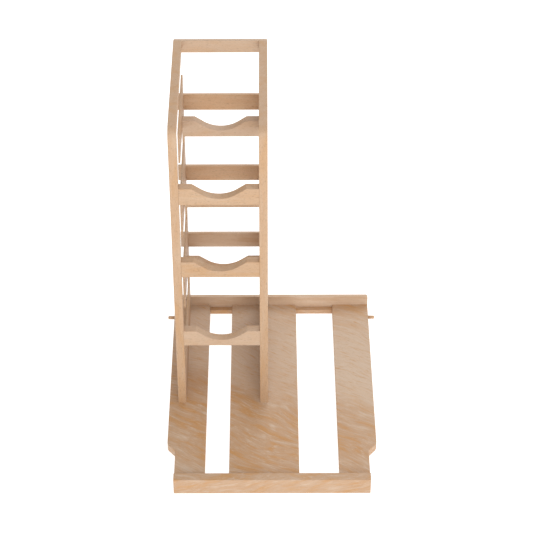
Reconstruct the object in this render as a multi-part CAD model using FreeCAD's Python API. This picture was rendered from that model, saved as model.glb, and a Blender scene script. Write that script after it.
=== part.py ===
import FreeCAD, Part
import math
import os

# A paint rack organizer: a slotted base tray with a front lip, and one open wooden
# tower that holds paint cans lying down, three high, on scalloped cradles.
#
# Millimetres. +X right, +Y to the back, +Z up. The origin is at the bottom centre of
# the whole object: midway between the side pins, midway between the lip's front face
# and the back rail's rear face, on the surface that the tray stands on.

V = FreeCAD.Vector

# ---------------------------------------------------------------- driving dimensions

# Tray
TRAY_DEPTH = 305.0           # lip front to back rail rear
PLATE_WIDTH = 230.0          # behind the stepped-in front
FRONT_WIDTH = 212.0          # the lip and the stepped-in front of the plate
PLATE_THICKNESS = 9.0
PLATE_LIFT = 2.5             # underside of the plate above the table
STEP_START = 53.0            # lip front to where the plate starts to widen
STEP_LENGTH = 11.0           # run of the slanted step
STEP_OUTER_RADIUS = 9.0
STEP_INNER_RADIUS = 3.0
PLATE_EDGE_RADIUS = 0.6

LIP_THICKNESS = 11.0
LIP_HEIGHT = 20.0
LIP_EDGE_RADIUS = 0.8

BACK_RAIL_THICKNESS = 4.0
BACK_RAIL_HEIGHT = 23.8
BACK_RAIL_CORNER_RADIUS = 2.0

# Slots through the plate, one under each tower bay
SLOT_MARGIN = 42.2           # plate side to the outer edge of each slot
LEFT_SLOT_WIDTH = 26.2
RIGHT_SLOT_WIDTH = 43.3
SLOT_FRONT_WEB = 8.0         # wood left between the lip and the slots
SLOT_CORNER_RADIUS = 1.2

# Cross batten let into the rear edge of the plate, under the slots
BATTEN_DEPTH = 6.3
BATTEN_HEIGHT = 5.8

# Side pins that the tray hangs or pivots on
PIN_RADIUS = 2.0
PIN_REACH = 7.6              # how far each pin stands out of the plate
PIN_TENON_RADIUS = 1.6       # the slimmer part inside the plate
PIN_SEAT_DEPTH = 20.0
PIN_FROM_REAR = 18.2         # pin axis in front of the plate's rear edge
PIN_TIP_RADIUS = 1.2

# Tower
TOWER_WIDTH = 101.0
TOWER_HEIGHT = 372.0
TOWER_LEFT_MARGIN = 10.0     # plate side to the tower's outer face
TOWER_FRONT = 130.2          # lip front to the tower's front face
TOWER_BACK_GAP = 2.0         # tower feet to back rail
FRAME_THICKNESS = 9.0        # of each side frame, along X
FRAME_MEMBER = 9.0           # depth of its stile and height of its rails
FRAME_CORNER_RADIUS = 12.0
FRAME_INNER_RADIUS = 3.0
FRAME_EDGE_RADIUS = 0.5

# Cradles: scalloped cross rails that a can lies on
CRADLE_HEIGHT = 20.3
CRADLE_THICKNESS = 9.6
CRADLE_TOPS = {"lower": 106.2, "middle": 202.8, "upper": 299.2}
REAR_CRADLE_SETBACK = 123.0  # tower front to the rear cradles' front faces
SCALLOP_CHORD = 56.2
SCALLOP_RADIUS = 33.0        # a 66 mm can
SCALLOP_RAMP_ANGLE = 35.0    # degrees, of the straight lead-in at each end

# Slats across the back, and the top rail
SLAT_THICKNESS = 3.6
SLAT_HEIGHT = 20.1
SLAT_BOTTOMS = {"lower": 90.1, "middle": 186.3, "upper": 282.4}
TOP_RAIL_HEIGHT = 15.0
TOP_RAIL_CORNER_RADIUS = 1.5

# Cheeks: thin side boards that keep the cans in and carry the rear cradles
CHEEK_THICKNESS = 2.0
CHEEK_SPINE = 16.0           # depth of the upright part at the back
CHEEK_ARM_START = 57.6       # tower front to the free ends of the arms
CHEEK_SILL_HEIGHT = 46.0
CHEEK_ARMS = {"lower": (90.8, 146.4), "middle": (190.5, 248.8), "upper": (289.7, 328.9)}
CHEEK_CORNER_RADIUS = 2.0

# Dowels, pegs and brads
DOWEL_RADIUS = 2.0
DOWEL_IN_FRAME = 6.0
DOWEL_IN_CRADLE = 12.0
DOWEL_SPACING = 10.0
LIP_DOWEL_RADIUS = 2.5
LIP_DOWEL_IN_LIP = 7.0
LIP_DOWEL_IN_PLATE = 5.5
PEG_RADIUS = 2.5
PEG_IN_FRAME = 6.0
PEG_REACH = 6.0              # how far the pegs drop into the plate
PEG_CLEARANCE = 0.15         # all round a peg in its hole
PEG_END_CLEARANCE = 1.0
PEG_INSET = 25.0             # pegs from the ends of the tower's feet
BRAD_RADIUS = 0.7
BRAD_LENGTH = 14.0
BRAD_HEAD_RADIUS = 1.4
BRAD_HEAD_HEIGHT = 0.6

# ---------------------------------------------------------------- derived places

FRONT_Y = -TRAY_DEPTH / 2
REAR_Y = TRAY_DEPTH / 2
PLATE_FRONT_Y = FRONT_Y + LIP_THICKNESS
PLATE_REAR_Y = REAR_Y - BACK_RAIL_THICKNESS
PLATE_BOTTOM_Z = PLATE_LIFT
PLATE_TOP_Z = PLATE_LIFT + PLATE_THICKNESS

SLOT_FRONT_Y = PLATE_FRONT_Y + SLOT_FRONT_WEB
LEFT_SLOT_X0 = -PLATE_WIDTH / 2 + SLOT_MARGIN
LEFT_SLOT_X1 = LEFT_SLOT_X0 + LEFT_SLOT_WIDTH
RIGHT_SLOT_X1 = PLATE_WIDTH / 2 - SLOT_MARGIN
RIGHT_SLOT_X0 = RIGHT_SLOT_X1 - RIGHT_SLOT_WIDTH

PIN_Y = PLATE_REAR_Y - PIN_FROM_REAR
PIN_Z = PLATE_BOTTOM_Z + PLATE_THICKNESS / 2

TOWER_X0 = -PLATE_WIDTH / 2 + TOWER_LEFT_MARGIN
TOWER_X1 = TOWER_X0 + TOWER_WIDTH
INNER_X0 = TOWER_X0 + FRAME_THICKNESS
INNER_X1 = TOWER_X1 - FRAME_THICKNESS
TOWER_Y0 = FRONT_Y + TOWER_FRONT
SLAT_Y0 = PLATE_REAR_Y - TOWER_BACK_GAP
TOWER_Y1 = SLAT_Y0 + SLAT_THICKNESS
TOWER_Z0 = PLATE_TOP_Z
TOWER_Z1 = TOWER_Z0 + TOWER_HEIGHT
STILE_Y1 = TOWER_Y0 + FRAME_MEMBER
REAR_CRADLE_Y0 = TOWER_Y0 + REAR_CRADLE_SETBACK
CHEEK_ARM_Y0 = TOWER_Y0 + CHEEK_ARM_START
CHEEK_SPINE_Y0 = SLAT_Y0 - CHEEK_SPINE


# ---------------------------------------------------------------- helpers

def box(x0, x1, y0, y1, z0, z1):
    """A block between two corners."""
    return Part.makeBox(x1 - x0, y1 - y0, z1 - z0, V(x0, y0, z0))


def cylinder(radius, start, direction, length):
    """A round bar from a point along a direction."""
    return Part.makeCylinder(radius, length, start, direction)


def prism(points, direction):
    """A solid pushed along a direction from a closed flat outline."""
    outline = Part.makePolygon(points + [points[0]])
    return Part.Face(outline).extrude(direction)


def fillet_edges(shape, radius, chosen):
    """Round the edges that the test picks."""
    edges = [edge for edge in shape.Edges if chosen(edge)]
    return shape.makeFillet(radius, edges) if edges else shape


def runs_along(edge, axis):
    """True for a straight edge parallel to X, Y or Z (0, 1 or 2)."""
    if not isinstance(edge.Curve, Part.Line):
        return False
    return abs(abs(edge.Curve.Direction[axis]) - 1.0) < 1e-6


def at(value, target):
    """True where two lengths agree."""
    return abs(value - target) < 1e-3


def centre(edge):
    """The middle of an edge's box."""
    return edge.BoundBox.Center


def export(node, *solids):
    """Write one node from its separate solids."""
    shape = solids[0] if len(solids) == 1 else Part.makeCompound(list(solids))
    shape.exportStep("parts/%s.step" % node)


# ---------------------------------------------------------------- tray

def peg_places():
    """Where the tower's four pegs drop into the plate."""
    xs = (TOWER_X0 + FRAME_THICKNESS / 2, TOWER_X1 - FRAME_THICKNESS / 2)
    ys = (TOWER_Y0 + PEG_INSET, SLAT_Y0 - PEG_INSET)
    return [(x, y) for x in xs for y in ys]


def plank_centres():
    """The middles of the three solid stretches beside the slots."""
    edges = (
        (-FRONT_WIDTH / 2, LEFT_SLOT_X0),
        (LEFT_SLOT_X1, RIGHT_SLOT_X0),
        (RIGHT_SLOT_X1, FRONT_WIDTH / 2),
    )
    return [(a + b) / 2 for a, b in edges]


def base_plate():
    """The slotted plate, stepped in at the front."""
    half = PLATE_WIDTH / 2
    front_half = FRONT_WIDTH / 2
    step_y = FRONT_Y + STEP_START
    wide_y = step_y + STEP_LENGTH
    right = [
        V(front_half, PLATE_FRONT_Y, PLATE_BOTTOM_Z),
        V(front_half, step_y, PLATE_BOTTOM_Z),
        V(half, wide_y, PLATE_BOTTOM_Z),
        V(half, PLATE_REAR_Y, PLATE_BOTTOM_Z),
    ]
    left = [V(-p.x, p.y, p.z) for p in reversed(right)]
    plate = prism(right + left, V(0, 0, PLATE_THICKNESS))

    def at_step(edge, x, y):
        middle = centre(edge)
        return runs_along(edge, 2) and at(abs(middle.x), x) and at(middle.y, y)

    plate = fillet_edges(plate, STEP_OUTER_RADIUS, lambda e: at_step(e, half, wide_y))
    plate = fillet_edges(plate, STEP_INNER_RADIUS, lambda e: at_step(e, front_half, step_y))

    for x0, x1 in ((LEFT_SLOT_X0, LEFT_SLOT_X1), (RIGHT_SLOT_X0, RIGHT_SLOT_X1)):
        slot = box(x0, x1, SLOT_FRONT_Y, PLATE_REAR_Y, PLATE_BOTTOM_Z, PLATE_TOP_Z)
        slot = fillet_edges(
            slot, SLOT_CORNER_RADIUS,
            lambda e: runs_along(e, 2) and at(centre(e).y, SLOT_FRONT_Y))
        plate = plate.cut(slot)

    rebate = box(-half, half, PLATE_REAR_Y - BATTEN_DEPTH, PLATE_REAR_Y,
                 PLATE_BOTTOM_Z, PLATE_BOTTOM_Z + BATTEN_HEIGHT)
    plate = plate.cut(rebate)

    side_and_slot_edges = (half, LEFT_SLOT_X0, LEFT_SLOT_X1, RIGHT_SLOT_X0, RIGHT_SLOT_X1)

    def worn(edge):
        middle = centre(edge)
        long_edge = runs_along(edge, 1) and edge.Length > STEP_START
        places = side_and_slot_edges + (-half,)
        return long_edge and at(middle.z, PLATE_TOP_Z) and any(at(middle.x, x) for x in places)

    plate = fillet_edges(plate, PLATE_EDGE_RADIUS, worn)

    for side in (-1, 1):
        start = V(side * half, PIN_Y, PIN_Z)
        plate = plate.cut(cylinder(PIN_TENON_RADIUS, start, V(-side, 0, 0), PIN_SEAT_DEPTH))
    for x in plank_centres():
        start = V(x, PLATE_FRONT_Y, PIN_Z)
        plate = plate.cut(cylinder(LIP_DOWEL_RADIUS, start, V(0, 1, 0), LIP_DOWEL_IN_PLATE))
        start = V(x, PLATE_REAR_Y, back_rail_brad_z())
        plate = plate.cut(cylinder(BRAD_RADIUS, start, V(0, -1, 0), brad_reach()))
    for x, y in peg_places():
        start = V(x, y, PLATE_TOP_Z)
        hole = cylinder(PEG_RADIUS + PEG_CLEARANCE, start, V(0, 0, -1),
                        PEG_REACH + PEG_END_CLEARANCE)
        plate = plate.cut(hole)
    return plate


def back_rail_brad_z():
    """Height of the back rail's brads: in the plate above the batten."""
    return (PLATE_BOTTOM_Z + BATTEN_HEIGHT + PLATE_TOP_Z) / 2


def brad_reach():
    """How deep a brad goes into the wood behind a slat-thick board."""
    return BRAD_LENGTH - BACK_RAIL_THICKNESS + BRAD_HEAD_HEIGHT


def front_lip():
    """The bar across the plate's front edge, standing above it."""
    half = FRONT_WIDTH / 2
    lip = box(-half, half, FRONT_Y, PLATE_FRONT_Y, 0, LIP_HEIGHT)

    def top_or_end(edge):
        middle = centre(edge)
        top = runs_along(edge, 0) and at(middle.z, LIP_HEIGHT)
        end = runs_along(edge, 2) and at(middle.y, FRONT_Y)
        return top or end

    lip = fillet_edges(lip, LIP_EDGE_RADIUS, top_or_end)
    for x in plank_centres():
        start = V(x, PLATE_FRONT_Y, PIN_Z)
        lip = lip.cut(cylinder(LIP_DOWEL_RADIUS, start, V(0, -1, 0), LIP_DOWEL_IN_LIP))
    return lip


def lip_dowels():
    """Dowels that join the lip to the plate."""
    length = LIP_DOWEL_IN_LIP + LIP_DOWEL_IN_PLATE
    start_y = PLATE_FRONT_Y - LIP_DOWEL_IN_LIP
    return [cylinder(LIP_DOWEL_RADIUS, V(x, start_y, PIN_Z), V(0, 1, 0), length)
            for x in plank_centres()]


def brad(head_centre, direction):
    """A small nail whose head lies flush at the given point."""
    head = cylinder(BRAD_HEAD_RADIUS, head_centre, direction, BRAD_HEAD_HEIGHT)
    shank = cylinder(BRAD_RADIUS, head_centre, direction, BRAD_LENGTH + BRAD_HEAD_HEIGHT)
    return head.fuse(shank).removeSplitter()


def back_rail():
    """The thin upright board along the plate's rear edge."""
    half = PLATE_WIDTH / 2
    rail = box(-half, half, PLATE_REAR_Y, REAR_Y, 0, BACK_RAIL_HEIGHT)
    rail = fillet_edges(
        rail, BACK_RAIL_CORNER_RADIUS,
        lambda e: runs_along(e, 1) and at(centre(e).z, BACK_RAIL_HEIGHT))
    for nail in back_rail_brads():
        rail = rail.cut(nail)
    return rail


def back_rail_brads():
    """Brads through the back rail into the plate."""
    return [brad(V(x, REAR_Y, back_rail_brad_z()), V(0, -1, 0)) for x in plank_centres()]


def rear_batten():
    """The strip that ties the plate's fingers together under the slots."""
    half = PLATE_WIDTH / 2
    return box(-half, half, PLATE_REAR_Y - BATTEN_DEPTH, PLATE_REAR_Y,
               PLATE_BOTTOM_Z, PLATE_BOTTOM_Z + BATTEN_HEIGHT)


def side_pin(side):
    """A round-ended pin and its tenon; side is -1 for left and 1 for right."""
    outward = V(side, 0, 0)
    shoulder = V(side * PLATE_WIDTH / 2, PIN_Y, PIN_Z)
    inner_end = V(side * (PLATE_WIDTH / 2 - PIN_SEAT_DEPTH), PIN_Y, PIN_Z)
    tip_x = side * (PLATE_WIDTH / 2 + PIN_REACH)
    pin = cylinder(PIN_RADIUS, shoulder, outward, PIN_REACH)
    pin = fillet_edges(pin, PIN_TIP_RADIUS,
                       lambda e: isinstance(e.Curve, Part.Circle) and at(centre(e).x, tip_x))
    tenon = cylinder(PIN_TENON_RADIUS, inner_end, outward, PIN_SEAT_DEPTH)
    return pin.fuse(tenon).removeSplitter()


# ---------------------------------------------------------------- tower

def side_frame(outer_x, inward):
    """A C-shaped frame: foot rail, front stile and top rail cut from one board."""
    outer = box(0, FRAME_THICKNESS, TOWER_Y0, SLAT_Y0, TOWER_Z0, TOWER_Z1)
    outer = fillet_edges(
        outer, FRAME_CORNER_RADIUS,
        lambda e: runs_along(e, 0) and at(centre(e).y, TOWER_Y0) and at(centre(e).z, TOWER_Z1))
    window = box(0, FRAME_THICKNESS, STILE_Y1, SLAT_Y0 + FRAME_MEMBER,
                 TOWER_Z0 + FRAME_MEMBER, TOWER_Z1 - FRAME_MEMBER)
    window = fillet_edges(
        window, FRAME_INNER_RADIUS,
        lambda e: runs_along(e, 0) and at(centre(e).y, STILE_Y1))
    frame = outer.cut(window)
    frame = fillet_edges(frame, FRAME_EDGE_RADIUS, lambda e: worn_frame_edge(e))
    start_x = outer_x if inward > 0 else outer_x - FRAME_THICKNESS
    frame.translate(V(start_x, 0, 0))

    inner_x = outer_x + inward * FRAME_THICKNESS
    rebate_x = sorted((inner_x, inner_x - inward * CHEEK_THICKNESS))
    rebate = box(rebate_x[0], rebate_x[1], STILE_Y1, SLAT_Y0,
                 TOWER_Z0, TOWER_Z0 + FRAME_MEMBER + FRAME_INNER_RADIUS)
    frame = frame.cut(rebate)
    for dowel in cradle_dowels(inner_x, inward):
        frame = frame.cut(dowel)
    for peg in foot_pegs(outer_x + inward * FRAME_THICKNESS / 2):
        frame = frame.cut(peg)
    for nail in top_rail_brads():
        frame = frame.cut(nail)
    return frame


def worn_frame_edge(edge):
    """The long front and top edges of a side frame."""
    middle = centre(edge)
    front = runs_along(edge, 2) and at(middle.y, TOWER_Y0)
    top = runs_along(edge, 1) and at(middle.z, TOWER_Z1)
    return front or top


def scallop_cutter(top_z, y0):
    """The can-shaped hollow: an arc with a straight lead-in at each side."""
    mid_x = (INNER_X0 + INNER_X1) / 2
    half = SCALLOP_CHORD / 2
    ramp = math.radians(SCALLOP_RAMP_ANGLE)
    arc_x = SCALLOP_RADIUS * math.sin(ramp)
    ramp_drop = (half - arc_x) * math.tan(ramp)
    depth = ramp_drop + SCALLOP_RADIUS * (1 - math.cos(ramp))
    above = top_z + CRADLE_HEIGHT
    corner = [V(mid_x + s * half, y0, top_z) for s in (-1, 1)]
    tangent = [V(mid_x + s * arc_x, y0, top_z - ramp_drop) for s in (-1, 1)]
    roof = [V(p.x, y0, above) for p in corner]
    bottom = V(mid_x, y0, top_z - depth)
    edges = [
        Part.makeLine(corner[0], tangent[0]),
        Part.Arc(tangent[0], bottom, tangent[1]).toShape(),
        Part.makeLine(tangent[1], corner[1]),
        Part.makeLine(corner[1], roof[1]),
        Part.makeLine(roof[1], roof[0]),
        Part.makeLine(roof[0], corner[0]),
    ]
    return Part.Face(Part.Wire(edges)).extrude(V(0, CRADLE_THICKNESS, 0))


def cradle(top, y0):
    """A cross rail with a can-shaped hollow in its top edge."""
    top_z = TOWER_Z0 + top
    rail = box(INNER_X0, INNER_X1, y0, y0 + CRADLE_THICKNESS, top_z - CRADLE_HEIGHT, top_z)
    return rail.cut(scallop_cutter(top_z, y0))


def front_cradle(top):
    """A cradle between the stiles, with its dowel holes."""
    rail = cradle(top, TOWER_Y0)
    for inner_x, inward in ((INNER_X0, 1), (INNER_X1, -1)):
        for dowel in cradle_dowels(inner_x, inward):
            rail = rail.cut(dowel)
    return rail


def rear_cradle(top):
    """A cradle between the cheeks, with its brad holes."""
    rail = cradle(top, REAR_CRADLE_Y0)
    for inner_x, inward in ((INNER_X0, 1), (INNER_X1, -1)):
        for nail in cheek_brads(inner_x, inward):
            rail = rail.cut(nail)
    return rail


def cradle_dowels(inner_x, inward):
    """Two dowels per front cradle, at one side frame."""
    dowels = []
    for top in CRADLE_TOPS.values():
        middle = TOWER_Z0 + top - CRADLE_HEIGHT / 2
        for shift in (-DOWEL_SPACING / 2, DOWEL_SPACING / 2):
            start = V(inner_x - inward * DOWEL_IN_FRAME, TOWER_Y0 + CRADLE_THICKNESS / 2,
                      middle + shift)
            dowels.append(cylinder(DOWEL_RADIUS, start, V(inward, 0, 0),
                                   DOWEL_IN_FRAME + DOWEL_IN_CRADLE))
    return dowels


def cheek_brads(inner_x, inward):
    """One brad per rear cradle, through a cheek's arm into the cradle's end."""
    nails = []
    for name, top in CRADLE_TOPS.items():
        low = TOWER_Z0 + max(top - CRADLE_HEIGHT, CHEEK_ARMS[name][0])
        height = (low + TOWER_Z0 + top) / 2
        head = V(inner_x - inward * CHEEK_THICKNESS, REAR_CRADLE_Y0 + CRADLE_THICKNESS / 2,
                 height)
        nails.append(brad(head, V(inward, 0, 0)))
    return nails


def cheek(inner_x, inward):
    """A thin comb-shaped side board: spine, sill and three arms."""
    x0, x1 = sorted((inner_x, inner_x - inward * CHEEK_THICKNESS))
    top = TOWER_Z0 + CHEEK_ARMS["upper"][1]
    board = box(x0, x1, CHEEK_SPINE_Y0, SLAT_Y0, TOWER_Z0, top)
    board = board.fuse(box(x0, x1, STILE_Y1, SLAT_Y0, TOWER_Z0, TOWER_Z0 + CHEEK_SILL_HEIGHT))
    for bottom, arm_top in CHEEK_ARMS.values():
        arm = box(x0, x1, CHEEK_ARM_Y0, SLAT_Y0, TOWER_Z0 + bottom, TOWER_Z0 + arm_top)
        board = board.fuse(arm)
    board = board.removeSplitter()

    def free_corner(edge):
        middle = centre(edge)
        at_arm_end = at(middle.y, CHEEK_ARM_Y0)
        at_spine = at(middle.y, CHEEK_SPINE_Y0)
        return runs_along(edge, 0) and (at_arm_end or at_spine)

    board = fillet_edges(board, CHEEK_CORNER_RADIUS, free_corner)
    for nail in cheek_brads(inner_x, inward):
        board = board.cut(nail)
    return board


def slat(bottom):
    """A thin board across the back of the tower."""
    low = TOWER_Z0 + bottom
    return box(TOWER_X0, TOWER_X1, SLAT_Y0, TOWER_Y1, low, low + SLAT_HEIGHT)


def top_rail():
    """The board that ties the two top rails together at the back."""
    rail = box(TOWER_X0, TOWER_X1, SLAT_Y0, TOWER_Y1, TOWER_Z1 - TOP_RAIL_HEIGHT, TOWER_Z1)
    rail = fillet_edges(
        rail, TOP_RAIL_CORNER_RADIUS,
        lambda edge: runs_along(edge, 1) and at(centre(edge).z, TOWER_Z1))
    for nail in top_rail_brads():
        rail = rail.cut(nail)
    return rail


def top_rail_brads():
    """Brads through the top rail into the ends of the side frames."""
    height = TOWER_Z1 - FRAME_MEMBER / 2
    xs = (TOWER_X0 + FRAME_THICKNESS / 2, TOWER_X1 - FRAME_THICKNESS / 2)
    return [brad(V(x, TOWER_Y1, height), V(0, -1, 0)) for x in xs]


def foot_pegs(x):
    """The two pegs under one side frame."""
    start_z = TOWER_Z0 - PEG_REACH
    return [cylinder(PEG_RADIUS, V(x, y, start_z), V(0, 0, 1), PEG_REACH + PEG_IN_FRAME)
            for peg_x, y in peg_places() if at(peg_x, x)]


# ---------------------------------------------------------------- write every node

def main():
    os.makedirs("parts", exist_ok=True)

    export("base_plate", base_plate())
    export("front_lip", front_lip())
    export("lip_dowels", *lip_dowels())
    export("back_rail", back_rail())
    export("back_rail_brads", *back_rail_brads())
    export("rear_batten", rear_batten())
    export("left_side_pin", side_pin(-1))
    export("right_side_pin", side_pin(1))

    sides = {"left": (TOWER_X0, INNER_X0, 1), "right": (TOWER_X1, INNER_X1, -1)}
    for name, (outer_x, inner_x, inward) in sides.items():
        export("%s_side_frame" % name, side_frame(outer_x, inward))
        export("%s_cheek" % name, cheek(inner_x, inward))
        export("%s_cradle_dowels" % name, *cradle_dowels(inner_x, inward))
        export("%s_cheek_brads" % name, *cheek_brads(inner_x, inward))
        export("%s_foot_pegs" % name, *foot_pegs(outer_x + inward * FRAME_THICKNESS / 2))

    for level, top in CRADLE_TOPS.items():
        export("%s_front_cradle" % level, front_cradle(top))
        export("%s_rear_cradle" % level, rear_cradle(top))
    for level, bottom in SLAT_BOTTOMS.items():
        export("%s_rear_slat" % level, slat(bottom))
    export("top_rear_rail", top_rail())
    export("top_rail_brads", *top_rail_brads())


main()
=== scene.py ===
"""A wooden paint rack: a slotted tray with a front lip and one open tower of can cradles."""
import logging
import math
from dataclasses import dataclass, field
from enum import Enum

import bmesh
import bpy
from mathutils import Euler, Matrix, Vector


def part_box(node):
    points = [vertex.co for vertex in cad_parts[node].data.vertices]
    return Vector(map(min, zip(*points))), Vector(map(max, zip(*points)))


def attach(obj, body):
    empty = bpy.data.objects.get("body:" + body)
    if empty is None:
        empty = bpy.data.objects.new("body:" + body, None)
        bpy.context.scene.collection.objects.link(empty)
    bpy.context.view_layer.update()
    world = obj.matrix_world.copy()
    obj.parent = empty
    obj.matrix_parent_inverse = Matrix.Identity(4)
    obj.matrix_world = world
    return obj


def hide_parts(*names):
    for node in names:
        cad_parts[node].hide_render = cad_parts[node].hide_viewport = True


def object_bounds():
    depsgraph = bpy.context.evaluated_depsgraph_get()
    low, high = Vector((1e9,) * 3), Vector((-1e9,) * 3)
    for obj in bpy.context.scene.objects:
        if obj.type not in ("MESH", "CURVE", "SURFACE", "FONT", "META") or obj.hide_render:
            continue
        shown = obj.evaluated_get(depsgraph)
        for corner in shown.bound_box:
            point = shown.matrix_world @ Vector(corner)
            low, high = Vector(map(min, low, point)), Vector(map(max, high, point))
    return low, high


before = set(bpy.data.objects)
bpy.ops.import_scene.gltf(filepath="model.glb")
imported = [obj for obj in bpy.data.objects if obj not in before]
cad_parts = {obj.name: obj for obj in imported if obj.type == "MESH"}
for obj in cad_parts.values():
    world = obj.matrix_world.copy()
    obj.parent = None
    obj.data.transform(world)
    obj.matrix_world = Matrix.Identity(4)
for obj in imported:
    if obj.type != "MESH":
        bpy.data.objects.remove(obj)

CAD_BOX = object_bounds()
LOG = logging.getLogger("paint_rack")
MM = 0.001


class GrainWay(Enum):
    """Which way the long fibres of a board run, as turns that lay them along the sheet's X."""

    ACROSS = (0.0, 0.0, 0.0)
    DEPTH = (0.0, 0.0, -90.0)
    UPRIGHT = (0.0, 90.0, 0.0)
    SLANT_DOWN = (0.0, 0.0, 31.0)
    SLANT_UP = (0.0, 14.0, 0.0)


class Level(Enum):
    """The three storeys of the tower, from the tray up."""

    LOWER = "lower"
    MIDDLE = "middle"
    UPPER = "upper"


class Side(Enum):
    """Left and right, seen from the lip, with the way that points outwards along X."""

    LEFT = -1
    RIGHT = 1

    @property
    def label(self) -> str:
        """The side's name as the pieces spell it."""
        return self.name.lower()


# ---------------------------------------------------------------- shader sheets


class NodeSheet:
    """A small helper that lays and wires nodes in one node tree."""

    def __init__(self, tree: bpy.types.NodeTree) -> None:
        """Starts on a tree.

        Args:
            tree: the shader tree or group to fill.
        """
        self.tree = tree

    def add(self, kind: str, **values: object) -> bpy.types.Node:
        """Adds a node.

        Args:
            kind: the node's Blender type name.
            **values: properties to set on the node.

        Returns:
            The new node.
        """
        node = self.tree.nodes.new(kind)
        for key, value in values.items():
            setattr(node, key, value)
        return node

    def wire(self, source: bpy.types.NodeSocket, target: bpy.types.NodeSocket) -> None:
        """Joins an output to an input."""
        self.tree.links.new(source, target)

    def feed(self, node: bpy.types.Node, slot: int | str, value: object) -> None:
        """Gives an input a constant, or wires it when the value is a socket.

        Args:
            node: the node that owns the input.
            slot: the input's index or name.
            value: a number, a tuple or an output socket.
        """
        target = node.inputs[slot]
        if isinstance(value, bpy.types.NodeSocket):
            self.wire(value, target)
        else:
            target.default_value = value

    def sum(self, operation: str, first: object, second: object = 0.0) -> bpy.types.NodeSocket:
        """Adds a Math node.

        Args:
            operation: the Math node's operation.
            first: the first number or socket.
            second: the second number or socket.

        Returns:
            The result's socket.
        """
        node = self.add("ShaderNodeMath", operation=operation)
        self.feed(node, 0, first)
        self.feed(node, 1, second)
        return node.outputs[0]

    def vector(self, operation: str, first: object, second: object) -> bpy.types.NodeSocket:
        """Adds a Vector Math node and returns its vector output."""
        node = self.add("ShaderNodeVectorMath", operation=operation)
        self.feed(node, 0, first)
        self.feed(node, 1, second)
        return node.outputs[0]

    def noise(self, vector: object, scale: object, detail: float,
              roughness: float = 0.5) -> bpy.types.NodeSocket:
        """Adds a Noise texture.

        Args:
            vector: the coordinates' socket.
            scale: cycles per metre.
            detail: how many finer layers are added.
            roughness: how strong the finer layers are.

        Returns:
            The noise value's socket.
        """
        node = self.add("ShaderNodeTexNoise")
        self.feed(node, "Vector", vector)
        self.feed(node, "Scale", scale)
        node.inputs["Detail"].default_value = detail
        node.inputs["Roughness"].default_value = roughness
        return node.outputs["Fac"]

    def spread(self, value: bpy.types.NodeSocket, low: float, high: float,
               to_low: float = 0.0, to_high: float = 1.0) -> bpy.types.NodeSocket:
        """Stretches a band of values smoothly over another.

        Args:
            value: the socket to stretch.
            low: the value that becomes to_low.
            high: the value that becomes to_high.
            to_low: the result at the low end.
            to_high: the result at the high end.

        Returns:
            The stretched value's socket.
        """
        node = self.add("ShaderNodeMapRange", interpolation_type="SMOOTHSTEP")
        self.feed(node, 0, value)
        for index, number in enumerate((low, high, to_low, to_high), start=1):
            node.inputs[index].default_value = number
        return node.outputs[0]

    def blend(self, amount: object, first: object, second: object,
              mode: str = "MIX") -> bpy.types.NodeSocket:
        """Mixes two colours.

        Args:
            amount: how much of the second colour shows.
            first: the first colour or socket.
            second: the second colour or socket.
            mode: the Mix node's blend type.

        Returns:
            The mixed colour's socket.
        """
        node = self.add("ShaderNodeMix", data_type="RGBA", blend_type=mode)
        self.feed(node, 0, amount)
        self.feed(node, 6, first)
        self.feed(node, 7, second)
        return node.outputs[2]


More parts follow.
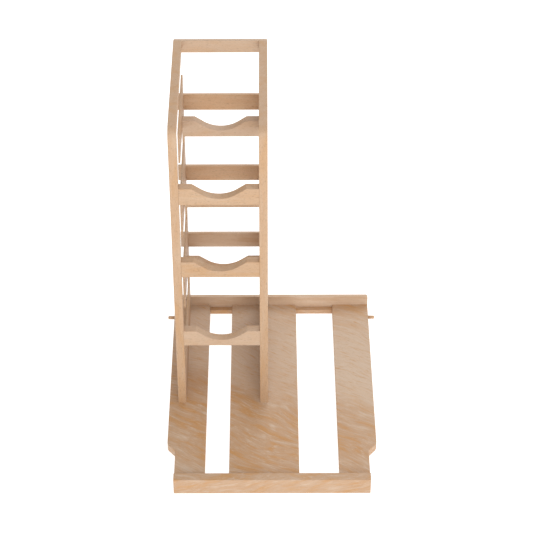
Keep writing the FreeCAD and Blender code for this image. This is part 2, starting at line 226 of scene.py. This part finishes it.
class WoodGrain:
    """Builds, once, the group that paints flowing bands, fine streaks, flecks and pores.

    Each stretch shrinks the place along the fibres, so that the figure grows longer that way.
    Each range says at which noise value a tone begins to show and at which it is full.
    """

    NAME = "wood_grain"
    BAND_STRETCH = (0.2, 1.0, 1.0)
    DRIFT_STRETCH = (0.5, 1.0, 1.0)
    STREAK_STRETCH = (0.08, 1.0, 1.0)
    FLECK_STRETCH = (0.28, 1.0, 1.0)
    DRIFTS_PER_METRE = 5.5
    SWIRLS_PER_METRE = 14.0
    STREAKS_PER_METRE = 520.0
    PORES_PER_METRE = 900.0
    FLECKS_PER_METRE = 1250.0
    WARM_BAND_RANGE = (0.48, 0.66)
    PALE_BAND_RANGE = (0.46, 0.2)
    WARM_STREAK_RANGE = (0.5, 0.8)
    PALE_STREAK_RANGE = (0.5, 0.2)
    DRIFT_RANGE = (0.48, 0.68)
    FLECK_RANGE = (0.56, 0.74)
    PORE_RANGE = (0.25, 0.75)
    SEED_STEPS = (1.37, 0.73, 0.39)
    FLECK_DARKNESS = 0.42
    PORE_GRIT = 0.09
    STREAK_ROUGHNESS = 0.12
    FLECK_ROUGHNESS = 0.10
    STREAK_HEIGHT = 0.45
    INPUTS = (
        ("Place", "NodeSocketVector", None),
        ("Seed", "NodeSocketFloat", 0.0),
        ("Pale", "NodeSocketColor", (0.6, 0.45, 0.3, 1.0)),
        ("Body", "NodeSocketColor", (0.5, 0.33, 0.2, 1.0)),
        ("Warm", "NodeSocketColor", (0.45, 0.26, 0.13, 1.0)),
        ("Band Width", "NodeSocketFloat", 0.012),
        ("Swirl", "NodeSocketFloat", 0.01),
        ("Band Strength", "NodeSocketFloat", 0.5),
        ("Streak Strength", "NodeSocketFloat", 0.5),
        ("Fleck Strength", "NodeSocketFloat", 0.5),
        ("Drift Strength", "NodeSocketFloat", 0.0),
    )
    OUTPUTS = (
        ("Color", "NodeSocketColor"),
        ("Roughness Shift", "NodeSocketFloat"),
        ("Height", "NodeSocketFloat"),
    )

    @classmethod
    def group(cls) -> bpy.types.NodeTree:
        """Returns the group, building it the first time."""
        found = bpy.data.node_groups.get(cls.NAME)
        return found if found else cls._build()

    @classmethod
    def _build(cls) -> bpy.types.NodeTree:
        """Lays the group's nodes.

        Returns:
            The finished group.
        """
        tree = bpy.data.node_groups.new(cls.NAME, "ShaderNodeTree")
        for name, kind, default in cls.INPUTS:
            socket = tree.interface.new_socket(name, in_out="INPUT", socket_type=kind)
            if default is not None:
                socket.default_value = default
        for name, kind in cls.OUTPUTS:
            tree.interface.new_socket(name, in_out="OUTPUT", socket_type=kind)
        sheet = NodeSheet(tree)
        given = sheet.add("NodeGroupInput").outputs
        result = sheet.add("NodeGroupOutput").inputs

        place = cls._swirled(sheet, given)
        bands = cls._bands(sheet, place, given)
        streaks = cls._streaks(sheet, place)
        flecks = cls._flecks(sheet, place)
        pores = sheet.noise(place, cls.PORES_PER_METRE, 2.0, 0.6)

        band_strength = given["Band Strength"]
        warm = sheet.sum("MULTIPLY", sheet.spread(bands, *cls.WARM_BAND_RANGE), band_strength)
        pale = sheet.sum("MULTIPLY", sheet.spread(bands, *cls.PALE_BAND_RANGE), band_strength)
        # The drift blends towards the pale colour; strong on the tray, it is partly painted
        # sheen and painted shade over the wood's own slow change of tone.
        drift = sheet.sum("MULTIPLY", cls._drift(sheet, place), given["Drift Strength"])
        colour = sheet.blend(warm, given["Body"], given["Warm"])
        colour = sheet.blend(pale, colour, given["Pale"])
        colour = sheet.blend(drift, colour, given["Pale"])

        streak_strength = given["Streak Strength"]
        thin_warm = sheet.spread(streaks, *cls.WARM_STREAK_RANGE)
        thin_warm = sheet.sum("MULTIPLY", thin_warm, streak_strength)
        thin_pale = sheet.spread(streaks, *cls.PALE_STREAK_RANGE)
        thin_pale = sheet.sum("MULTIPLY", thin_pale, streak_strength)
        colour = sheet.blend(thin_warm, colour, given["Warm"])
        colour = sheet.blend(thin_pale, colour, given["Pale"])

        fleck = sheet.sum("MULTIPLY", flecks, given["Fleck Strength"])
        shade = sheet.sum("SUBTRACT", 1.0, sheet.sum("MULTIPLY", fleck, cls.FLECK_DARKNESS))
        grit = sheet.spread(pores, *cls.PORE_RANGE, -cls.PORE_GRIT, cls.PORE_GRIT)
        shade = sheet.sum("ADD", shade, sheet.sum("MULTIPLY", grit, given["Fleck Strength"]))
        tint = sheet.add("ShaderNodeCombineColor")
        for index in range(3):
            sheet.wire(shade, tint.inputs[index])
        colour = sheet.blend(1.0, colour, tint.outputs[0], mode="MULTIPLY")

        rough = sheet.sum("ADD", sheet.sum("MULTIPLY", streaks, cls.STREAK_ROUGHNESS),
                          sheet.sum("MULTIPLY", fleck, cls.FLECK_ROUGHNESS))
        height = sheet.sum("SUBTRACT", sheet.sum("MULTIPLY", streaks, cls.STREAK_HEIGHT), fleck)
        sheet.wire(colour, result["Color"])
        sheet.wire(rough, result["Roughness Shift"])
        sheet.wire(height, result["Height"])
        return tree

    @classmethod
    def _swirled(cls, sheet: NodeSheet, given: bpy.types.NodeOutputs) -> bpy.types.NodeSocket:
        """Moves the place by the board's seed and by slow swirls, so that the fibres wander.

        Args:
            sheet: the sheet to lay nodes on.
            given: the group's inputs.

        Returns:
            The wandering coordinates.
        """
        jump = sheet.add("ShaderNodeCombineXYZ")
        for index, step in enumerate(cls.SEED_STEPS):
            sheet.feed(jump, index, sheet.sum("MULTIPLY", given["Seed"], step))
        moved = sheet.vector("ADD", given["Place"], jump.outputs[0])
        slow = sheet.add("ShaderNodeTexNoise")
        sheet.feed(slow, "Vector", moved)
        sheet.feed(slow, "Scale", cls.SWIRLS_PER_METRE)
        slow.inputs["Detail"].default_value = 1.5
        centred = sheet.vector("SUBTRACT", slow.outputs["Color"], (0.5, 0.5, 0.5))
        scale = sheet.add("ShaderNodeVectorMath", operation="SCALE")
        sheet.wire(centred, scale.inputs[0])
        sheet.wire(given["Swirl"], scale.inputs["Scale"])
        return sheet.vector("ADD", moved, scale.outputs[0])

    @classmethod
    def _bands(cls, sheet: NodeSheet, place: bpy.types.NodeSocket,
               given: bpy.types.NodeOutputs) -> bpy.types.NodeSocket:
        """Broad soft bands, several times as long as they are wide."""
        long = sheet.vector("MULTIPLY", place, cls.BAND_STRETCH)
        return sheet.noise(long, sheet.sum("DIVIDE", 1.0, given["Band Width"]), 3.0, 0.55)

    @classmethod
    def _drift(cls, sheet: NodeSheet, place: bpy.types.NodeSocket) -> bpy.types.NodeSocket:
        """Slow change of tone from one part of a wide board to another; on the tray plate, where
        it is strong, it is partly painted light: painted sheen where it turns paler and painted
        shade where it stays darker.
        """
        long = sheet.vector("MULTIPLY", place, cls.DRIFT_STRETCH)
        return sheet.spread(sheet.noise(long, cls.DRIFTS_PER_METRE, 2.0, 0.45), *cls.DRIFT_RANGE)

    @classmethod
    def _streaks(cls, sheet: NodeSheet, place: bpy.types.NodeSocket) -> bpy.types.NodeSocket:
        """Thin streaks about two millimetres apart."""
        long = sheet.vector("MULTIPLY", place, cls.STREAK_STRETCH)
        return sheet.noise(long, cls.STREAKS_PER_METRE, 3.0, 0.65)

    @classmethod
    def _flecks(cls, sheet: NodeSheet, place: bpy.types.NodeSocket) -> bpy.types.NodeSocket:
        """Short dark dashes, the ends of the wood's rays."""
        dash = sheet.vector("MULTIPLY", place, cls.FLECK_STRETCH)
        return sheet.spread(sheet.noise(dash, cls.FLECKS_PER_METRE, 1.0, 0.4), *cls.FLECK_RANGE)


# ---------------------------------------------------------------- finishes


@dataclass(frozen=True)
class WoodFinish:
    """Bare, sanded wood with its own colours and figure, in metres where it has a length."""

    name: str
    pale: tuple[float, float, float]
    body: tuple[float, float, float]
    warm: tuple[float, float, float]
    band_width: float
    swirl: float
    band_strength: float
    streak_strength: float
    fleck_strength: float
    # drift_strength: on the tray it is partly painted light, paler as painted sheen and darker
    # as painted shade.
    drift_strength: float = 0.0
    roughness: float = 0.48
    sheen: float = 0.5
    relief: float = 0.06 * MM
    relief_strength: float = 0.6

    def material(self, piece: str, way: GrainWay, seed: float) -> bpy.types.Material:
        """Makes the material of one board.

        Args:
            piece: the board's name.
            way: which way its fibres run.
            seed: where in the tree the board was cut.

        Returns:
            The board's material.
        """
        material = bpy.data.materials.new(f"{self.name}_{piece}")
        material.use_nodes = True
        material.node_tree.nodes.clear()
        sheet = NodeSheet(material.node_tree)
        place = sheet.add("ShaderNodeTexCoord").outputs["Object"]
        turn = sheet.add("ShaderNodeMapping")
        turn.inputs["Rotation"].default_value = [math.radians(a) for a in way.value]
        sheet.wire(place, turn.inputs["Vector"])

        grain = sheet.add("ShaderNodeGroup")
        grain.node_tree = WoodGrain.group()
        sheet.wire(turn.outputs[0], grain.inputs["Place"])
        grain.inputs["Seed"].default_value = seed
        for socket, colour in (("Pale", self.pale), ("Body", self.body), ("Warm", self.warm)):
            grain.inputs[socket].default_value = (*colour, 1.0)
        for socket, value in (("Band Width", self.band_width), ("Swirl", self.swirl),
                              ("Band Strength", self.band_strength),
                              ("Streak Strength", self.streak_strength),
                              ("Fleck Strength", self.fleck_strength),
                              ("Drift Strength", self.drift_strength)):
            grain.inputs[socket].default_value = value

        shader = sheet.add("ShaderNodeBsdfPrincipled")
        shader.inputs["Specular IOR Level"].default_value = self.sheen
        sheet.wire(grain.outputs["Color"], shader.inputs["Base Color"])
        rough = sheet.sum("ADD", grain.outputs["Roughness Shift"], self.roughness)
        sheet.wire(rough, shader.inputs["Roughness"])
        bump = sheet.add("ShaderNodeBump")
        bump.inputs["Strength"].default_value = self.relief_strength
        bump.inputs["Distance"].default_value = self.relief
        sheet.wire(grain.outputs["Height"], bump.inputs["Height"])
        sheet.wire(bump.outputs[0], shader.inputs["Normal"])
        output = sheet.add("ShaderNodeOutputMaterial")
        sheet.wire(shader.outputs[0], output.inputs[0])
        return material


@dataclass(frozen=True)
class SteelFinish:
    """Plain bright wire steel, for the brads."""

    name: str = "brad_steel"
    colour: tuple[float, float, float] = (0.56, 0.55, 0.53)
    roughness: float = 0.38
    smoother: float = 0.08
    rougher: float = 0.12
    scuffs_per_metre: float = 1500.0

    def material(self) -> bpy.types.Material:
        """Returns the one material that every brad shares."""
        found = bpy.data.materials.get(self.name)
        if found:
            return found
        material = bpy.data.materials.new(self.name)
        material.use_nodes = True
        shader = material.node_tree.nodes["Principled BSDF"]
        shader.inputs["Base Color"].default_value = (*self.colour, 1.0)
        shader.inputs["Metallic"].default_value = 1.0
        sheet = NodeSheet(material.node_tree)
        place = sheet.add("ShaderNodeTexCoord").outputs["Object"]
        scuffs = sheet.noise(place, self.scuffs_per_metre, 2.0)
        low, high = self.roughness - self.smoother, self.roughness + self.rougher
        sheet.wire(sheet.spread(scuffs, 0.3, 0.7, low, high), shader.inputs["Roughness"])
        return material


# The tray's strong drift is partly painted light: its paler patches stand in for sheen on the
# plate and its darker ones for shade.
TRAY_WOOD = WoodFinish(
    name="tray_wood", pale=(0.545, 0.415, 0.305), body=(0.452, 0.278, 0.16),
    warm=(0.458, 0.236, 0.086), band_width=0.0075, swirl=0.028,
    band_strength=0.95, streak_strength=0.85, fleck_strength=0.25, drift_strength=0.8)
RAIL_WOOD = WoodFinish(
    name="rail_wood", pale=(0.62, 0.48, 0.36), body=(0.57, 0.415, 0.29),
    warm=(0.50, 0.32, 0.19), band_width=0.009, swirl=0.01,
    band_strength=0.6, streak_strength=0.5, fleck_strength=0.2)
TOWER_WOOD = WoodFinish(
    name="tower_wood", pale=(0.53, 0.39, 0.27), body=(0.478, 0.308, 0.185),
    warm=(0.472, 0.275, 0.135), band_width=0.012, swirl=0.015,
    band_strength=0.75, streak_strength=0.5, fleck_strength=0.5, drift_strength=0.2)
PALE_TOWER_WOOD = WoodFinish(
    name="pale_tower_wood", pale=(0.55, 0.42, 0.31), body=(0.505, 0.35, 0.235),
    warm=(0.485, 0.30, 0.165), band_width=0.012, swirl=0.015,
    band_strength=0.6, streak_strength=0.4, fleck_strength=0.4, drift_strength=0.3)
SLAT_WOOD = WoodFinish(
    name="slat_wood", pale=(0.61, 0.44, 0.30), body=(0.555, 0.365, 0.22),
    warm=(0.52, 0.30, 0.155), band_width=0.008, swirl=0.01,
    band_strength=0.55, streak_strength=0.5, fleck_strength=0.5, drift_strength=0.2)
DOWEL_WOOD = WoodFinish(
    name="dowel_wood", pale=(0.60, 0.42, 0.27), body=(0.54, 0.35, 0.21),
    warm=(0.50, 0.30, 0.16), band_width=0.004, swirl=0.004,
    band_strength=0.4, streak_strength=0.5, fleck_strength=0.6)


# ---------------------------------------------------------------- making pieces


@dataclass(frozen=True)
class EdgeEase:
    """How a board's sharp edges are broken with sandpaper."""

    width: float
    steps: int = 2
    sharp_from: float = math.radians(28.0)


@dataclass
class Board:
    """One wooden board: the frame's solid with its edges eased and its grain laid."""

    node: str
    body: str
    finish: WoodFinish
    way: GrainWay
    seed: float
    slot: str
    ease: EdgeEase
    same_point: float = 0.002 * MM
    flat_within: float = math.radians(0.4)
    flat_face_weight: int = 80

    def build(self) -> bpy.types.Object:
        """Makes, dresses and mounts the board.

        Returns:
            The board's object.
        """
        piece = bpy.data.objects.new(f"{self.node}_board", self._mesh())
        bpy.context.scene.collection.objects.link(piece)
        piece.data.materials.append(self.finish.material(self.node, self.way, self.seed))
        flats = piece.modifiers.new("flat_faces_stay_flat", "WEIGHTED_NORMAL")
        flats.mode = "FACE_AREA"
        flats.weight = self.flat_face_weight
        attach(piece, self.body)
        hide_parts(self.node)
        low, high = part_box(self.node)
        size = [round(edge / MM, 1) for edge in high - low]
        LOG.info("board %s, %s mm, %d faces", self.node, size, len(piece.data.polygons))
        return piece

    def _mesh(self) -> bpy.types.Mesh:
        """Copies the frame's solid, cleans it to whole faces and eases its sharp edges.

        Returns:
            The board's mesh.
        """
        work = bmesh.new()
        work.from_mesh(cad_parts[self.node].data)
        bmesh.ops.remove_doubles(work, verts=work.verts, dist=self.same_point)
        bmesh.ops.dissolve_limit(work, angle_limit=self.flat_within, verts=work.verts,
                                 edges=work.edges)
        sharp = [edge for edge in work.edges
                 if edge.is_manifold and edge.calc_face_angle() > self.ease.sharp_from]
        bmesh.ops.bevel(work, geom=sharp, offset=self.ease.width, segments=self.ease.steps,
                        profile=0.5, affect="EDGES", clamp_overlap=True)
        for face in work.faces:
            face.smooth = True
        mesh = bpy.data.meshes.new(f"{self.node}_board")
        work.to_mesh(mesh)
        work.free()
        return mesh


@dataclass
class TurnedPin:
    """A round pin turned from dowel, with a domed tip, from the plate's side outwards."""

    side: Side
    dome: float = 1.2 * MM
    facets: int = 48
    dome_steps: int = 8
    seed: float = 5.0

    def build(self) -> bpy.types.Object:
        """Lathes the pin along X and mounts it on the tray.

        Returns:
            The pin's object.
        """
        node = f"{self.side.label}_side_pin"
        low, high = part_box(node)
        radius = (high.z - low.z) / 2
        centre = (low + high) / 2
        tip = high.x if self.side is Side.RIGHT else low.x
        plate_low, plate_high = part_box("base_plate")
        shoulder = plate_high.x if self.side is Side.RIGHT else plate_low.x
        outline = [(shoulder, radius)]
        for step in range(self.dome_steps + 1):
            angle = math.radians(90.0 * step / self.dome_steps)
            along = tip - self.side.value * self.dome * (1.0 - math.sin(angle))
            outline.append((along, radius - self.dome * (1.0 - math.cos(angle))))
        mesh = self._lathe(outline, centre)
        piece = bpy.data.objects.new(f"{node}_turned", mesh)
        bpy.context.scene.collection.objects.link(piece)
        seed = self.seed + self.side.value
        piece.data.materials.append(DOWEL_WOOD.material(node, GrainWay.ACROSS, seed))
        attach(piece, "base")
        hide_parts(node)
        LOG.info("pin %s, radius %.1f mm", node, radius / MM)
        return piece

    def _lathe(self, outline: list[tuple[float, float]], centre: Vector) -> bpy.types.Mesh:
        """Spins an outline about the pin's axis and closes both ends.

        Args:
            outline: places along X, each with its radius.
            centre: a point on the pin's axis.

        Returns:
            The pin's mesh.
        """
        work = bmesh.new()
        rings = []
        for along, radius in outline:
            ring = []
            for index in range(self.facets):
                angle = 2.0 * math.pi * index / self.facets
                y = centre.y + radius * math.cos(angle)
                z = centre.z + radius * math.sin(angle)
                ring.append(work.verts.new((along, y, z)))
            rings.append(ring)
        for near, far in zip(rings, rings[1:]):
            for index in range(self.facets):
                after = (index + 1) % self.facets
                work.faces.new((near[index], near[after], far[after], far[index])).smooth = True
        work.faces.new(rings[0])
        work.faces.new(rings[-1])
        bmesh.ops.recalc_face_normals(work, faces=work.faces)
        mesh = bpy.data.meshes.new("turned_pin")
        work.to_mesh(mesh)
        work.free()
        return mesh


# ---------------------------------------------------------------- sub-assemblies


@dataclass
class Tray:
    """The slotted plate with its lip, back rail, batten and side pins."""

    plate_ease: float = 0.5 * MM
    rail_ease: float = 0.4 * MM
    dowel_seed: float = 31.0

    def build(self) -> None:
        """Makes every wooden piece of the tray."""
        plate = EdgeEase(self.plate_ease)
        thin = EdgeEase(self.rail_ease)
        boards = (
            ("base_plate", TRAY_WOOD, GrainWay.SLANT_DOWN, 18.8, plate),
            ("front_lip", TRAY_WOOD, GrainWay.SLANT_UP, 6.0, plate),
            ("back_rail", RAIL_WOOD, GrainWay.ACROSS, 9.0, thin),
            ("rear_batten", TRAY_WOOD, GrainWay.ACROSS, 12.0, thin),
        )
        for node, finish, way, seed, ease in boards:
            Board(node, "base", finish, way, seed, "tray_wood", ease).build()
        for side in Side:
            TurnedPin(side).build()
        dress_solids(["lip_dowels"], DOWEL_WOOD.material("lip", GrainWay.DEPTH, self.dowel_seed))
        dress_solids(["back_rail_brads"], SteelFinish().material())


@dataclass
class TowerSides:
    """Each side's C-shaped frame and thin comb-shaped cheek."""

    frame_ease: float = 0.25 * MM
    cheek_ease: float = 0.2 * MM
    seeds: dict[Side, float] = field(default_factory=lambda: {Side.LEFT: 14.0, Side.RIGHT: 17.5})
    cheek_seed_step: float = 1.7
    dowel_seed_step: float = 3.1
    peg_seed_step: float = 4.3

    def build(self) -> None:
        """Makes both sides with their dowels, brads and pegs."""
        for side in Side:
            seed = self.seeds[side]
            Board(f"{side.label}_side_frame", "tower", TOWER_WOOD, GrainWay.UPRIGHT, seed,
                  "tower_wood", EdgeEase(self.frame_ease)).build()
            Board(f"{side.label}_cheek", "tower", TOWER_WOOD, GrainWay.DEPTH,
                  seed + self.cheek_seed_step, "tower_wood", EdgeEase(self.cheek_ease)).build()
            dowels = DOWEL_WOOD.material(f"{side.label}_cradles", GrainWay.ACROSS,
                                         seed + self.dowel_seed_step)
            pegs = DOWEL_WOOD.material(f"{side.label}_feet", GrainWay.UPRIGHT,
                                       seed + self.peg_seed_step)
            dress_solids([f"{side.label}_cradle_dowels"], dowels)
            dress_solids([f"{side.label}_foot_pegs"], pegs)
            dress_solids([f"{side.label}_cheek_brads"], SteelFinish().material())


@dataclass
class CanCradles:
    """The scalloped cross rails, one in front and one further back on each level."""

    ease: float = 0.18 * MM
    first_seed: float = 21.0
    seed_step: float = 1.9

    def build(self) -> None:
        """Makes the cradles from the lowest level up."""
        seed = self.first_seed
        for level in Level:
            for place in ("front", "rear"):
                pale = (level, place) in ((Level.LOWER, "front"), (Level.UPPER, "rear"))
                finish = PALE_TOWER_WOOD if pale else TOWER_WOOD
                Board(f"{level.value}_{place}_cradle", "tower", finish, GrainWay.ACROSS,
                      seed, "tower_wood", EdgeEase(self.ease)).build()
                seed += self.seed_step


@dataclass
class BackBoards:
    """The thin slats across the back and the rail that ties the tower's top."""

    ease: float = 0.35 * MM
    first_seed: float = 41.0
    seed_step: float = 2.3

    def build(self) -> None:
        """Makes the slats, the top rail and its brads."""
        boards = (("lower_rear_slat", RAIL_WOOD), ("middle_rear_slat", SLAT_WOOD),
                  ("upper_rear_slat", SLAT_WOOD), ("top_rear_rail", PALE_TOWER_WOOD))
        for index, (node, finish) in enumerate(boards):
            Board(node, "tower", finish, GrainWay.ACROSS,
                  self.first_seed + index * self.seed_step, "tower_wood",
                  EdgeEase(self.ease)).build()
        dress_solids(["top_rail_brads"], SteelFinish().material())


def dress_solids(nodes: list[str], material: bpy.types.Material) -> None:
    """Gives frame solids that stay as they are their material.

    Args:
        nodes: the solids' names.
        material: what they are made of.
    """
    for node in nodes:
        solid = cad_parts[node]
        if not solid.material_slots:
            solid.data.materials.append(material)
        for slot in solid.material_slots:
            slot.material = material
        LOG.info("solid %s keeps its shape, in %s", node, material.name)


# ---------------------------------------------------------------- studio


@dataclass(frozen=True)
class SoftBox:
    """A square studio light that faces the rack."""

    name: str
    place: tuple[float, float, float]
    size: float
    power: float

    def build(self, target: Vector) -> None:
        """Hangs the light and turns it to the target.

        Args:
            target: the point that the light faces.
        """
        lamp = bpy.data.lights.new(self.name, "AREA")
        lamp.shape = "SQUARE"
        lamp.size = self.size
        lamp.energy = self.power
        holder = bpy.data.objects.new(self.name, lamp)
        holder.location = self.place
        holder.rotation_euler = (target - holder.location).to_track_quat("-Z", "Y").to_euler()
        bpy.context.scene.collection.objects.link(holder)


@dataclass
class Studio:
    """A pale floor, soft light from the front, the back and the right, and the camera.

    The camera's pitch is in degrees and its roll, a trifle, in radians.
    """

    floor_half: float = 6.0
    floor_colour: tuple[float, float, float] = (0.6, 0.6, 0.6)
    floor_glow: float = 0.8
    floor_roughness: float = 0.9
    floor_sheen: float = 0.1
    sky_strength: float = 0.69
    camera_place: tuple[float, float, float] = (-0.0055, -1.5742, 1.4653)
    camera_pitch: float = 39.0
    camera_roll: float = -0.0025
    lens_mm: float = 127.2
    sensor_mm: float = 36.0
    clip: tuple[float, float] = (0.05, 30.0)
    lights: tuple[SoftBox, ...] = (
        SoftBox("front_light", (0.2, -2.5, 1.5), 1.6, 36.5),
        SoftBox("back_light", (0.7, 2.1, 1.9), 1.6, 22.0),
        SoftBox("right_light", (2.2, -0.6, 1.0), 1.6, 12.0),
    )

    def build(self) -> None:
        """Sets the floor, the lights, the sky and the camera."""
        self._floor()
        self._sky()
        low, high = CAD_BOX
        middle = (Vector(low) + Vector(high)) / 2
        for light in self.lights:
            light.build(middle)
        self._camera()

    def _floor(self) -> None:
        """Lays the floor that the tray stands on, a light table that glows a little."""
        half = self.floor_half
        mesh = bpy.data.meshes.new("floor")
        corners = [(-half, -half, 0), (half, -half, 0), (half, half, 0), (-half, half, 0)]
        mesh.from_pydata(corners, [], [(0, 1, 2, 3)])
        floor = bpy.data.objects.new("floor", mesh)
        bpy.context.scene.collection.objects.link(floor)
        material = bpy.data.materials.new("pale_floor")
        material.use_nodes = True
        shader = material.node_tree.nodes["Principled BSDF"]
        shader.inputs["Base Color"].default_value = (*self.floor_colour, 1.0)
        shader.inputs["Roughness"].default_value = self.floor_roughness
        shader.inputs["Specular IOR Level"].default_value = self.floor_sheen
        shader.inputs["Emission Color"].default_value = (1.0, 1.0, 1.0, 1.0)
        shader.inputs["Emission Strength"].default_value = self.floor_glow
        mesh.materials.append(material)

    def _sky(self) -> None:
        """Fills the room with even white light."""
        world = bpy.data.worlds.new("white_room")
        world.use_nodes = True
        background = world.node_tree.nodes["Background"]
        background.inputs["Color"].default_value = (1.0, 1.0, 1.0, 1.0)
        background.inputs["Strength"].default_value = self.sky_strength
        bpy.context.scene.world = world

    def _camera(self) -> None:
        """Stands the camera in front of the rack, looking down at it."""
        lens = bpy.data.cameras.new("camera")
        lens.lens = self.lens_mm
        lens.sensor_width = self.sensor_mm
        lens.sensor_fit = "HORIZONTAL"
        lens.clip_start, lens.clip_end = self.clip
        camera = bpy.data.objects.new("camera", lens)
        tilt = Euler((math.radians(90.0 - self.camera_pitch), 0.0, 0.0)).to_matrix().to_4x4()
        roll = Matrix.Rotation(self.camera_roll, 4, "Z")
        camera.matrix_world = Matrix.Translation(self.camera_place) @ tilt @ roll
        bpy.context.scene.collection.objects.link(camera)
        bpy.context.scene.camera = camera
        bpy.context.scene.view_settings.view_transform = "Standard"


def main() -> None:
    """Builds the rack piece by piece and sets it in the studio."""
    logging.basicConfig(level=logging.INFO, format="%(name)s: %(message)s")
    for part in (Tray(), TowerSides(), CanCradles(), BackBoards()):
        LOG.info("building %s", type(part).__name__)
        part.build()
    Studio().build()


if __name__ == "__main__":
    main()
